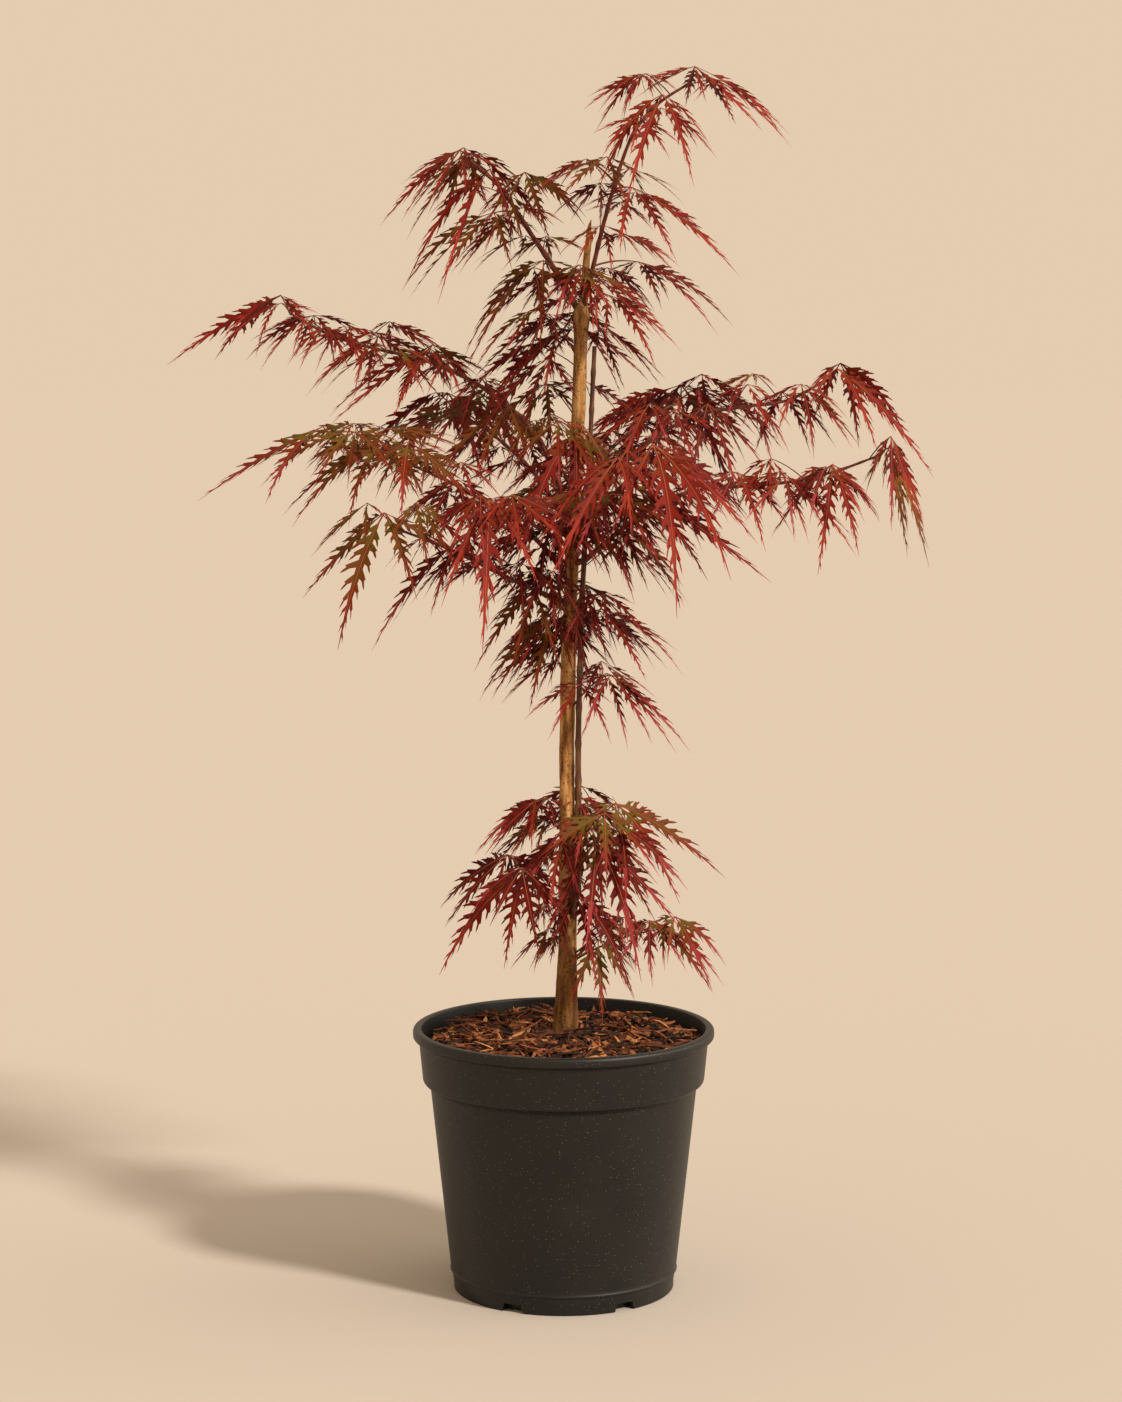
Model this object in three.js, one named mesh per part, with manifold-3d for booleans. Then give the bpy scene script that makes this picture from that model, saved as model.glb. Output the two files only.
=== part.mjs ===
// Potted maple: a young weeping tree with finely cut leaves in a round nursery pot.
// Millimetres, +Z up, +Y towards the back. The origin is the centre of the pot's flat underside.
import * as THREE from 'three';
import { mergeVertices } from 'three/addons/utils/BufferGeometryUtils.js';
import Module from 'manifold-3d';

const wasm = await Module();
wasm.setup();

// ---- driving sizes ------------------------------------------------------------------------

const POT_HEIGHT = 246;
const RIM_RADIUS = 140;         // outside of the rolled lip
const LIP_HEIGHT = 8.5;
const COLLAR_TOP_RADIUS = 134.5;
const COLLAR_FOOT_RADIUS = 131;
const COLLAR_HEIGHT = 49;       // from the rim down to the small step in the wall
const BODY_TOP_RADIUS = 123.5;
const BODY_FOOT_RADIUS = 106;
const BASE_RADIUS = 103;
const BASE_BAND_HEIGHT = 16;
const WALL = 3;
const FLOOR_TOP = 10;           // height of the inside floor
const POT_SEGMENTS = 24;
const NOTCHES = 6;              // drain notches around the foot
const NOTCH_WIDTH = 25;
const NOTCH_HEIGHT = 8;
const NOTCH_DEPTH = 9;
const NOTCH_SLANT = 4;          // how much narrower each side is at the top
const NOTCH_TURN = -87;         // degrees, first notch, counted from the front

const SOIL_TOP = POT_HEIGHT - 8;    // flat patch where the trunk stands
const SOIL_EDGE = POT_HEIGHT - 18;  // where the bark mulch meets the wall
const SOIL_PATCH_RADIUS = 24;

const GAP = 0.35;               // left between neighbouring solids
const SMALLEST = 0.12;          // detail below this is dropped after a cut
const STALK_RISE = 8;           // a spray's hub sits this far above the limb that bears it
const LOBES = 7;                // fingers in the outline of a spray
const REAR_REACH = 0.4;         // a spray's reach behind its hub, as a share of its reach ahead
const PAD = 0.13;               // half thickness of a spray at its hub, as a share of its reach
const FINGER_DEPTH = 0.4;       // how far the outline goes in between two fingers
const UNEVEN = 0.09;            // how much fingers differ in length
const SAG_CURVE = 1.6;          // above 1: a finger leaves its hub level and then hangs

// The trunk's centre line, from the flat cut on the mulch to the fork. It leans to the right.
const TRUNK_LINE = [
  [1, 0, SOIL_TOP + GAP], [3, 0, 294], [4, 0, 365], [3, 0, 514], [6, 0, 640], [10, 0, 735], [14, 0, 825], [16, 0, 905],
];
const TRUNK_FOOT_RADIUS = 10.6;
const TRUNK_TOP_RADIUS = 6;
const TRUNK_TAPER = 0.27;       // share of its length in which most of the taper happens
const ROOT_FLARE = 3.4;         // added to the radius at the cut, fading upwards
const ROOT_FLARE_FADE = 14;
const TRUNK_SIDES = 10;
const TRUNK_STEPS = 14;
const TRUNK_STEP_GROWTH = 1.5;  // its rings crowd together at the foot, where the flare is

// A slim second stem, which leaves the trunk low down and climbs beside it.
const SIDE_STEM_LINE = [
  [6, -3, 352], [12.5, -6, 394], [13.5, -7, 515], [17, -7, 644], [22, -6, 744], [26, -5, 830], [28, -4, 875],
];
const SIDE_STEM_RADII = [3.1, 2];

const SIDE_STEM_STEPS = 10;

const LIMB_SIDES = 6;
const LIMB_TAPER = 0.8;         // below 1: a limb thins faster near the trunk

// Boughs. start: height on the trunk. via: the rest of the centre line. radii: at the trunk and at the tip.
// sprays: [place along the bough 0..1, heading in degrees, reach, drop, stalk], heading 0 = right, 90 = back.
const BOUGHS = {
  top_left: {
    start: 902, via: [[-8, 12, 944], [-36, 30, 986], [-58, 44, 1019], [-84, 54, 1042]], radii: [3.2, 1.4],
    sprays: [[1, 172, 92, 58, 8], [0.84, 240, 80, 96, 12], [0.55, 190, 80, 70, 30], [0.24, 222, 86, 68, 18]],
  },
  top_right: {
    start: 902, via: [[24, -8, 934], [31, -16, 965], [41, -26, 1003], [57, -38, 1052], [73, -46, 1080], [110, -52, 1106]],
    radii: [2.5, 1.2],
    sprays: [[1, 5, 102, 52, 6], [0.84, 300, 72, 84, 18], [0.58, 150, 60, 44, 34], [0.44, 338, 100, 52, 22],
      [0.16, 20, 84, 45, 45]],
  },
  left_high: {
    start: 716, via: [[-27, 10, 796], [-76, 20, 838], [-121, 28, 860], [-167, 34, 871], [-212, 38, 884], [-252, 40, 905]],
    radii: [2.9, 1.2],
    sprays: [[1, 185, 108, 44, 8], [0.86, 240, 66, 45, 18], [0.72, 112, 88, 40, 24], [0.56, 215, 104, 60, 16],
      [0.3, 205, 80, 70, 14]],
  },
  left_middle: {
    start: 657, via: [[-22, -18, 698], [-76, -45, 739], [-122, -60, 764], [-169, -68, 780], [-204, -72, 788]],
    radii: [2.6, 1.1],
    sprays: [[1, 180, 108, 38, 10], [0.78, 212, 92, 44, 16], [0.52, 245, 72, 50, 20]],
  },
  left_low: {
    start: 638, via: [[-50, -50, 668], [-105, -92, 698], [-148, -112, 716]], radii: [2.4, 1.1],
    sprays: [[1, 192, 92, 78, 10], [0.66, 250, 76, 74, 16]],
  },
  left_front: {
    start: 690, via: [[-20, -55, 712], [-50, -105, 728], [-66, -128, 732]], radii: [2.3, 1.1],
    sprays: [[1, 275, 62, 98, 8]],
  },
  right_upper: {
    start: 680, via: [[30, 10, 742], [70, 22, 780], [115, 32, 809], [165, 38, 819], [206, 40, 825], [240, 42, 842]],
    radii: [2.8, 1.2],
    sprays: [[1, 345, 80, 62, 12], [0.84, 60, 60, 40, 14], [0.6, 300, 66, 78, 20]],
  },
  right_middle: {
    start: 668, via: [[33, -15, 693], [88, -35, 735], [120, -42, 746], [184, -48, 752], [225, -50, 758], [279, -48, 776]],
    radii: [2.6, 1.1],
    sprays: [[1, 340, 50, 105, 12], [0.84, 305, 66, 70, 14], [0.66, 335, 82, 66, 18]],
  },
  right_front: {
    start: 700, via: [[32, -50, 730], [60, -90, 762], [70, -104, 775]], radii: [2.4, 1.1],
    sprays: [[1, 325, 96, 92, 10], [0.5, 350, 112, 66, 26]],
  },
  back_left: {
    start: 706, via: [[-30, 60, 760], [-80, 120, 800], [-112, 150, 815]], radii: [2.6, 1.1],
    sprays: [[0.96, 130, 118, 92, 8]],
  },
  back_right: {
    start: 724, via: [[40, 55, 775], [88, 112, 812], [112, 140, 822]], radii: [2.6, 1.1],
    sprays: [[0.96, 50, 118, 92, 8]],
  },
};

// Sprays borne by short shoots of the trunk itself: [height, heading, reach, drop, stalk].
const TRUNK_SPRAYS = {
  crown_front: [790, 268, 62, 110, 44],
  crown_left: [886, 192, 84, 48, 26],
  crown_back: [880, 95, 92, 70, 46],
  mid_left: [622, 215, 66, 62, 20],
  mid_right: [624, 345, 78, 45, 30],
  mid_back: [600, 88, 84, 70, 34],
  mid_front: [566, 320, 84, 66, 46],
  low_left: [450, 200, 72, 50, 20],
  low_right: [440, 5, 96, 52, 44],
  low_front: [412, 305, 78, 78, 44],
  low_back: [430, 95, 88, 74, 34],
  foot_left: [380, 200, 92, 74, 44],
  foot_front: [352, 250, 46, 90, 30],
  foot_right: [322, 325, 62, 66, 34],
  foot_outer: [324, 12, 66, 58, 92],
};

const COLOURS = {
  pot: 0x1b1b1d, soil: 0x6b4433, bark: 0x6e5c4c, bough: 0x8a4a38, crimson: 0xa32a2c, burgundy: 0x5c1d20, bronze: 0x7c4a28,
};

// ---- small helpers ------------------------------------------------------------------------

const vector = ([x, y, z]) => new THREE.Vector3(x, y, z);
const radians = THREE.MathUtils.degToRad;
const rings = (points) => points.map(([r, z]) => new THREE.Vector2(r, z));

// A closed mesh as a solid that can be cut.
function toSolid(geometry) {
  const bare = geometry.clone();
  bare.deleteAttribute('normal');
  bare.deleteAttribute('uv');
  const merged = mergeVertices(bare, 1e-4);
  return new wasm.Manifold(new wasm.Mesh({
    numProp: 3,
    vertProperties: Float32Array.from(merged.attributes.position.array),
    triVerts: Uint32Array.from(merged.index.array),
  }));
}

function toGeometry(solid) {
  const mesh = solid.getMesh();
  const geometry = new THREE.BufferGeometry();
  geometry.setAttribute('position', new THREE.BufferAttribute(Float32Array.from(mesh.vertProperties), 3));
  geometry.setIndex(new THREE.BufferAttribute(Uint32Array.from(mesh.triVerts), 1));
  geometry.computeVertexNormals();
  return geometry;
}

// The largest single body of a solid, so that no crumb is left beside it after a cut.
function largestBody(solid) {
  const bodies = solid.decompose();
  bodies.sort((a, b) => b.volume() - a.volume());
  return bodies[0];
}

// A lathe turns about Y: this stands it up along Z.
function lathe(profile, segments) {
  return new THREE.LatheGeometry(rings(profile), segments).rotateX(Math.PI / 2);
}

// ---- limbs --------------------------------------------------------------------------------

// A closed, tapering limb: a capped cylinder bent along a curve, with radiusAt(share of the length).
function limbGeometry(curve, radiusAt, steps) {
  const geometry = new THREE.CylinderGeometry(1, 1, 1, LIMB_SIDES, steps);
  const position = geometry.attributes.position;
  const frames = curve.computeFrenetFrames(steps, false);
  for (let i = 0; i < position.count; i += 1) {
    const share = position.getY(i) + 0.5;
    const step = Math.round(share * steps);
    const radius = radiusAt(share);
    const point = curve.getPointAt(share)
      .addScaledVector(frames.normals[step], -position.getX(i) * radius)
      .addScaledVector(frames.binormals[step], position.getZ(i) * radius);
    position.setXYZ(i, point.x, point.y, point.z);
  }
  return geometry;
}

const taper = ([foot, tip], grow = 0) => (share) => foot + (tip - foot) * share ** LIMB_TAPER + grow;

const trunkCurve = new THREE.CatmullRomCurve3(TRUNK_LINE.map(vector));
const trunkLength = trunkCurve.getLength();

function trunkRadius(share) {
  return TRUNK_TOP_RADIUS + (TRUNK_FOOT_RADIUS - TRUNK_TOP_RADIUS) * Math.exp(-share / TRUNK_TAPER)
    + ROOT_FLARE * Math.exp((-share * trunkLength) / ROOT_FLARE_FADE);
}

function trunkPointAt(height) {
  const foot = TRUNK_LINE[0][2];
  const top = TRUNK_LINE[TRUNK_LINE.length - 1][2];
  return trunkCurve.getPointAt((height - foot) / (top - foot));
}

// The trunk's rings are level with the ground, so that its cut stands flat on the mulch.
function trunkGeometry(grow = 0) {
  const geometry = new THREE.CylinderGeometry(1, 1, 1, TRUNK_SIDES, TRUNK_STEPS).rotateX(Math.PI / 2);
  const position = geometry.attributes.position;
  for (let i = 0; i < position.count; i += 1) {
    const share = (position.getZ(i) + 0.5) ** TRUNK_STEP_GROWTH;
    const centre = trunkCurve.getPointAt(share);
    const radius = trunkRadius(share) + grow;
    position.setXYZ(i, centre.x + position.getX(i) * radius, centre.y + position.getY(i) * radius, centre.z);
  }
  return geometry;
}

// ---- sprays of leaves ---------------------------------------------------------------------

// A closed pad of foliage: a flattened ball drawn out into drooping fingers around its hub.
// reach: hub to the foremost finger. drop: how far that finger hangs. heading: which way it points.
function sprayGeometry({ hub, heading, reach, drop, phase }, grow = 0) {
  const geometry = new THREE.SphereGeometry(1, LOBES * 2, 4);
  const position = geometry.attributes.position;
  for (let i = 0; i < position.count; i += 1) {
    const [x, y, z] = [position.getX(i), position.getY(i), position.getZ(i)];
    const out = Math.hypot(x, z);
    const turn = Math.atan2(z, x);
    const ahead = REAR_REACH + (1 - REAR_REACH) * ((1 + Math.cos(turn)) / 2) ** 0.8;
    const finger = 1 - FINGER_DEPTH * (1 - Math.cos(LOBES * turn)) / 2;
    const uneven = 1 + UNEVEN * Math.sin(3 * turn + phase);
    const radius = out * (reach * ahead * finger * uneven + 2 * grow);
    const sag = drop * (radius / reach) ** SAG_CURVE * (1 + UNEVEN * Math.sin(2 * turn + phase));
    const plump = y * (PAD * reach + 2 * grow);
    const bearing = radians(heading) - turn;
    position.setXYZ(i, hub.x + radius * Math.cos(bearing), hub.y + radius * Math.sin(bearing), hub.z - sag + plump);
  }
  return geometry;
}

function sprayAt(point, [heading, reach, drop, stalk], phase) {
  const hub = point.clone();
  hub.x += stalk * Math.cos(radians(heading));
  hub.y += stalk * Math.sin(radians(heading));
  hub.z += STALK_RISE;
  return { hub, heading, reach, drop, phase };
}

// ---- pot ----------------------------------------------------------------------------------

function potGeometry() {
  const collarFoot = POT_HEIGHT - COLLAR_HEIGHT;
  const lipFoot = POT_HEIGHT - LIP_HEIGHT;
  const outside = [
    [0, 0], [BASE_RADIUS - 1.5, 0], [BASE_RADIUS, 1.5], [BASE_RADIUS, BASE_BAND_HEIGHT],
    [BODY_FOOT_RADIUS, BASE_BAND_HEIGHT + 3],
    [BODY_TOP_RADIUS, collarFoot - 4], [COLLAR_FOOT_RADIUS, collarFoot + 2],
    [COLLAR_TOP_RADIUS, lipFoot - 1], [RIM_RADIUS - 1, lipFoot], [RIM_RADIUS, lipFoot + 2],
    [RIM_RADIUS, POT_HEIGHT - 2], [RIM_RADIUS - 1.5, POT_HEIGHT],
  ];
  const inside = [
    [COLLAR_TOP_RADIUS - WALL + 1, POT_HEIGHT],
    [COLLAR_FOOT_RADIUS - WALL, collarFoot + 2], [BODY_TOP_RADIUS - WALL, collarFoot - 4],
    [BODY_FOOT_RADIUS - WALL - 1, FLOOR_TOP], [0, FLOOR_TOP],
  ];
  let solid = toSolid(lathe([...outside, ...inside], POT_SEGMENTS));
  for (let i = 0; i < NOTCHES; i += 1) {
    const bearing = radians(NOTCH_TURN - 90 + (360 / NOTCHES) * i);
    const notch = new THREE.Shape([
      new THREE.Vector2(-NOTCH_WIDTH / 2, -1), new THREE.Vector2(NOTCH_WIDTH / 2, -1),
      new THREE.Vector2(NOTCH_WIDTH / 2 - NOTCH_SLANT, NOTCH_HEIGHT),
      new THREE.Vector2(NOTCH_SLANT - NOTCH_WIDTH / 2, NOTCH_HEIGHT),
    ]);
    const block = new THREE.ExtrudeGeometry(notch, { depth: NOTCH_DEPTH * 2, bevelEnabled: false });
    block.translate(0, 0, -NOTCH_DEPTH);
    block.rotateX(Math.PI / 2);
    block.rotateZ(Math.PI / 2);
    block.translate(BASE_RADIUS, 0, 0);
    block.rotateZ(bearing);
    solid = solid.subtract(toSolid(block));
  }
  return toGeometry(solid);
}

function soilGeometry() {
  const collarFoot = POT_HEIGHT - COLLAR_HEIGHT;
  const clear = WALL + GAP;
  const profile = [
    [0, FLOOR_TOP + GAP], [BODY_FOOT_RADIUS - clear - 1, FLOOR_TOP + GAP],
    [BODY_TOP_RADIUS - clear, collarFoot - 4], [COLLAR_FOOT_RADIUS - clear, collarFoot + 2.4],
    [COLLAR_TOP_RADIUS - clear - 0.6, SOIL_EDGE], [110, SOIL_EDGE + 5], [70, SOIL_TOP - 1.5],
    [SOIL_PATCH_RADIUS, SOIL_TOP], [0, SOIL_TOP],
  ];
  return toGeometry(toSolid(lathe(profile, POT_SEGMENTS)));
}

// ---- assembly -----------------------------------------------------------------------------

const group = new THREE.Group();

function addMesh(name, geometry, color, roughness = 0.8) {
  const mesh = new THREE.Mesh(geometry, new THREE.MeshStandardMaterial({ color, roughness, metalness: 0 }));
  mesh.name = name;
  group.add(mesh);
}

addMesh('pot', potGeometry(), COLOURS.pot, 0.6);
addMesh('potting_mix', soilGeometry(), COLOURS.soil, 0.95);
addMesh('trunk', trunkGeometry(), COLOURS.bark, 0.9);

// Everything placed so far, a little swollen: what comes next is cut clear of it.
let taken = toSolid(trunkGeometry(GAP));

// Adds a solid cut clear of all before it. plump makes the same shape a little swollen.
function addCut(name, shape, plump, color) {
  addMesh(name, toGeometry(largestBody(toSolid(shape).subtract(taken).simplify(SMALLEST))), color);
  taken = taken.add(toSolid(plump));
}

const sideCurve = new THREE.CatmullRomCurve3(SIDE_STEM_LINE.map(vector));
addCut('side_stem', limbGeometry(sideCurve, taper(SIDE_STEM_RADII), SIDE_STEM_STEPS),
  limbGeometry(sideCurve, taper(SIDE_STEM_RADII, GAP), SIDE_STEM_STEPS), COLOURS.bough);

const curves = {};
for (const [name, { start, via, radii }] of Object.entries(BOUGHS)) {
  const curve = new THREE.CatmullRomCurve3([trunkPointAt(start), ...via.map(vector)]);
  const steps = via.length + 2;
  curves[name] = curve;
  addCut(`bough_${name}`, limbGeometry(curve, taper(radii), steps), limbGeometry(curve, taper(radii, GAP), steps),
    COLOURS.bough);
}

const FOLIAGE_COLOURS = [COLOURS.crimson, COLOURS.burgundy, COLOURS.bronze];
let count = 0;

function addSpray(name, spray) {
  addCut(`foliage_${name}`, sprayGeometry(spray), sprayGeometry(spray, GAP), FOLIAGE_COLOURS[count % 3]);
  count += 1;
}

for (const [name, { sprays }] of Object.entries(BOUGHS)) {
  sprays.forEach(([share, ...shape], i) => {
    addSpray(`${name}_${i + 1}`, sprayAt(curves[name].getPointAt(share), shape, count));
  });
}
for (const [name, [height, ...shape]] of Object.entries(TRUNK_SPRAYS)) {
  addSpray(name, sprayAt(trunkPointAt(height), shape, count));
}

export default group;
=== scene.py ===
# %% [markdown]
# # A young cutleaf maple in its nursery pot
#
# This lesson dresses a plain solid model, the frame, as a living plant. The frame holds the sizes: a pot,
# the mix in it, a trunk, boughs and pads of foliage. Here each of them gets its real surface: moulded
# plastic, shredded bark, furrowed and smooth bark, and leaves cut into feathery fingers.

# %% Load the frame
import math
import random

import bpy
import numpy as np
from mathutils import Euler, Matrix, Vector
from numpy.linalg import norm


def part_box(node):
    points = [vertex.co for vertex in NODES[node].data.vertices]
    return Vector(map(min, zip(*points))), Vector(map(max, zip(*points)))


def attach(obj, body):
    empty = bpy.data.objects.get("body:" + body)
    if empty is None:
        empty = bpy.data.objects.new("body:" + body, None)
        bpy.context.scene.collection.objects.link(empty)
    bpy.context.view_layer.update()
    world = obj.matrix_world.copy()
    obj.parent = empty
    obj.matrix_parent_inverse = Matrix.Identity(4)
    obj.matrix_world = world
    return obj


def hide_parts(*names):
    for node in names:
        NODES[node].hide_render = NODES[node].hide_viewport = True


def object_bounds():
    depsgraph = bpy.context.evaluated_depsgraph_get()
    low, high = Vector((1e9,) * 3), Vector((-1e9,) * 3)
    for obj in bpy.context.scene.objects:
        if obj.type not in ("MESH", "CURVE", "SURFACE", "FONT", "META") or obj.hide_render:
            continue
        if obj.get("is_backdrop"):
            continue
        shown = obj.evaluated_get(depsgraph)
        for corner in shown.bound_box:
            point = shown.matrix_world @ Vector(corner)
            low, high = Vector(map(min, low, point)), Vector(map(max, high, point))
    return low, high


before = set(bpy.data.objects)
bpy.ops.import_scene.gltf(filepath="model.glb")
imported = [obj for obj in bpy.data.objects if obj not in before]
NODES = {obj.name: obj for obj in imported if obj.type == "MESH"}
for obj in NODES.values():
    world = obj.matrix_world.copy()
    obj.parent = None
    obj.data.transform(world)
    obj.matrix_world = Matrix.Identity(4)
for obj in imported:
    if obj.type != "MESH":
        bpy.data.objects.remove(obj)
CAD_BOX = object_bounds()
MM = 0.001
print("the frame has", len(NODES), "nodes in", [[round(v, 3) for v in corner] for corner in CAD_BOX])

# %% [markdown]
# ## Camera, floor and light
#
# The plant is seen from a little above the rim of its pot, from three metres away through a long lens, so
# its upright lines stay upright. The floor is plain, pale and fully matt, so it looks alike from every
# side. A soft sun high on the right models the leaves, and a wide soft light low on the right gives the
# pot its brighter edge. A pale surround of the floor's own colour fills the shade, so floor and
# background run into each other without a line.

# %% Helpers for colour and materials
def linear(hex_colour):
    """An sRGB hex colour as the linear RGBA that shaders take."""
    parts = [int(hex_colour[i:i + 2], 16) / 255 for i in (1, 3, 5)]
    return [p / 12.92 if p <= 0.04045 else ((p + 0.055) / 1.055) ** 2.4 for p in parts] + [1.0]


def new_material(name, colour, **sockets):
    """A material of one Principled shader with constant values on its own sockets."""
    material = bpy.data.materials.new(name)
    material.use_nodes = True
    shader = material.node_tree.nodes["Principled BSDF"]
    shader.inputs["Base Color"].default_value = linear(colour)
    for socket, value in sockets.items():
        shader.inputs[socket.replace("_", " ").title().replace("Ior", "IOR")].default_value = value
    return material


def add_node(material, kind, settings=None, inputs=None):
    """Adds a node. Its settings are properties, its inputs are values or (node, output) links."""
    tree = material.node_tree
    node = tree.nodes.new(kind)
    for key, value in (settings or {}).items():
        setattr(node, key, value)
    for key, value in (inputs or {}).items():
        if isinstance(value, tuple) and hasattr(value[0], "outputs"):
            tree.links.new(value[0].outputs[value[1]], node.inputs[key])
        else:
            node.inputs[key].default_value = value
    return node


def shader_of(material):
    return material.node_tree.nodes["Principled BSDF"]


def drive(material, socket, node, output):
    """Lets a node's output drive a socket of the material's shader."""
    material.node_tree.links.new(node.outputs[output], shader_of(material).inputs[socket])


def noise(material, vector, size, detail):
    """A noise texture with features of a size, read at a vector."""
    return add_node(material, "ShaderNodeTexNoise", inputs={
        "Vector": vector, "Scale": 1 / size, "Detail": detail})


def ramp(material, source, stops):
    """Turns a node's output into colours by (place, hex colour) stops."""
    node = add_node(material, "ShaderNodeValToRGB", inputs={"Fac": source})
    elements = node.color_ramp.elements
    while len(elements) < len(stops):
        elements.new(0.5)
    for element, (place, colour) in zip(elements, stops):
        element.position = place
        element.color = linear(colour)
    return node


def multiplied(material, share, first, second):
    """One node's colour multiplied by a share of another's."""
    return add_node(material, "ShaderNodeMixRGB", {"blend_type": "MULTIPLY"},
                    {"Fac": share, "Color1": (first, "Color"), "Color2": (second, "Color")})


def bump(material, source, strength, height):
    """Lets a node's output roughen the shader's surface by a height."""
    node = add_node(material, "ShaderNodeBump", inputs={
        "Height": source, "Strength": strength, "Distance": height})
    drive(material, "Normal", node, "Normal")


def select_only(piece):
    """Makes a piece the only selected object, and the active one."""
    bpy.ops.object.select_all(action="DESELECT")
    piece.select_set(True)
    bpy.context.view_layer.objects.active = piece


def dress(piece, *materials):
    """Gives a piece these materials in its slots."""
    piece.data.materials.clear()
    for material in materials:
        piece.data.materials.append(material)


# %% Camera
LENS_MM = 85
SENSOR_MM = 36
EYE = Vector((-0.0024, -3.025, 0.893))
PITCH_DOWN = math.radians(6.46)

bpy.ops.object.select_all(action="DESELECT")
bpy.ops.object.camera_add(location=EYE, rotation=(math.pi / 2 - PITCH_DOWN, 0, 0))
camera = bpy.context.object
camera.data.sensor_fit = "VERTICAL"
camera.data.sensor_height = SENSOR_MM
camera.data.lens = LENS_MM
bpy.context.scene.camera = camera
print("the camera stands", round(EYE.length, 2), "m from the pot")

# %% Floor
FLOOR_RADIUS = 40
bpy.ops.mesh.primitive_circle_add(vertices=96, radius=FLOOR_RADIUS, fill_type="NGON")
floor = bpy.context.object
floor.name = "floor"
dress(floor, new_material("pale limewashed floor", "#bcb5ad", roughness=0.95, specular_ior_level=0.0))
floor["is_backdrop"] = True
print("the floor reaches", FLOOR_RADIUS, "m")

# %% Light
SURROUND = "#e4ccb0"


def add_sun(name, place, strength, spread, colour):
    """A far lamp that shines past a place at the pot. Its spread in degrees softens the shadows."""
    bpy.ops.object.light_add(type="SUN", location=place)
    lamp = bpy.context.object
    lamp.name = name
    lamp.data.energy = strength
    lamp.data.angle = math.radians(spread)
    lamp.data.color = colour
    lamp.rotation_euler = (-place).to_track_quat("-Z", "Y").to_euler()


add_sun("key", Vector((2.6, -2.2, 2.5)), 3.6, 7, (1, 0.9, 0.78))
add_sun("side", Vector((1.0, 0.12, 0.3)), 1.1, 60, (1, 0.93, 0.84))
world = bpy.data.worlds.new("pale surround")
bpy.context.scene.world = world
world.use_nodes = True
world.node_tree.nodes["Background"].inputs["Color"].default_value = linear(SURROUND)
bpy.context.scene.view_settings.view_transform = "Standard"
print("two suns shine in a surround of", SURROUND)

# %% [markdown]
# ## Reading the limbs from the frame
#
# The frame's limbs are bent cylinders of a few rings. A ring's corners lie close together and far from
# the next ring, so gathering neighbours gives the rings back, and their middles are the limb's centre
# line. The trunk's rings are level and crowd together at the foot, so they are told apart by height
# instead.

# %% Rings of corners
LEVEL_TOLERANCE = 0.2 * MM
NEIGHBOUR = 6 * MM
SMALLEST_RING = 4


def corners(node):
    """The different corner points of a frame node."""
    points = np.array([v.co for v in NODES[node].data.vertices])
    return np.unique(points.round(6), axis=0)


def ring(points):
    """The middle of a ring of points and its radius."""
    middle = (points.min(0) + points.max(0)) / 2
    return middle, float(norm(points - middle, axis=1).max())


def trunk_rings():
    """The trunk's rings, from the foot up."""
    points = corners("trunk")
    levels = np.unique(points[:, 2].round(4))
    return [ring(points[abs(points[:, 2] - level) < LEVEL_TOLERANCE]) for level in levels]


def limb_rings(node):
    """The rings of a bough or stem, in no order."""
    left = list(corners(node))
    found = []
    while left:
        group = [left.pop()]
        grown = True
        while grown:
            near = [p for p in left if min(norm(p - q) for q in group) < NEIGHBOUR]
            grown = bool(near)
            group += near
            left = [p for p in left if not any(p is n for n in near)]
        if len(group) >= SMALLEST_RING:
            found.append(ring(np.array(group)))
    return found


print("the trunk has", len(trunk_rings()), "rings")

# %% Smooth lines
def in_order(rings, start):
    """Rings put in the order in which a walk from start meets them."""
    left = list(rings)
    line = []
    here = np.array(start)
    while left:
        nearest = min(left, key=lambda r: norm(r[0] - here))
        left = [r for r in left if r is not nearest]
        line.append(nearest)
        here = nearest[0]
    return line


def smooth_line(points, radii, spacing):
    """A Catmull-Rom curve through points, as evenly spaced (points, radii)."""
    points = np.array(points)
    radii = np.array(radii)
    ends = np.vstack([2 * points[0] - points[1], points, 2 * points[-1] - points[-2]])
    places, sizes = [], []
    for i in range(len(points) - 1):
        a, b, c, d = ends[i:i + 4]
        steps = max(2, int(norm(c - b) / spacing))
        for t in np.arange(steps) / steps:
            places.append(0.5 * (2 * b + (c - a) * t + (2 * a - 5 * b + 4 * c - d) * t ** 2
                                 + (3 * b - a - 3 * c + d) * t ** 3))
            sizes.append(radii[i] * (1 - t) + radii[i + 1] * t)
    return np.array(places + [points[-1]]), np.array(sizes + [radii[-1]])


# %% The trunk's centre line
TRUNK_SPACING = 3 * MM
trunk = smooth_line(*zip(*trunk_rings()), TRUNK_SPACING)


def trunk_axis(height):
    """The trunk's centre at a height."""
    height = min(max(height, trunk[0][0][2]), trunk[0][-1][2])
    return np.array([np.interp(height, trunk[0][:, 2], trunk[0][:, k]) for k in range(3)])


print("the trunk's line has", len(trunk[0]), "points")

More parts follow.
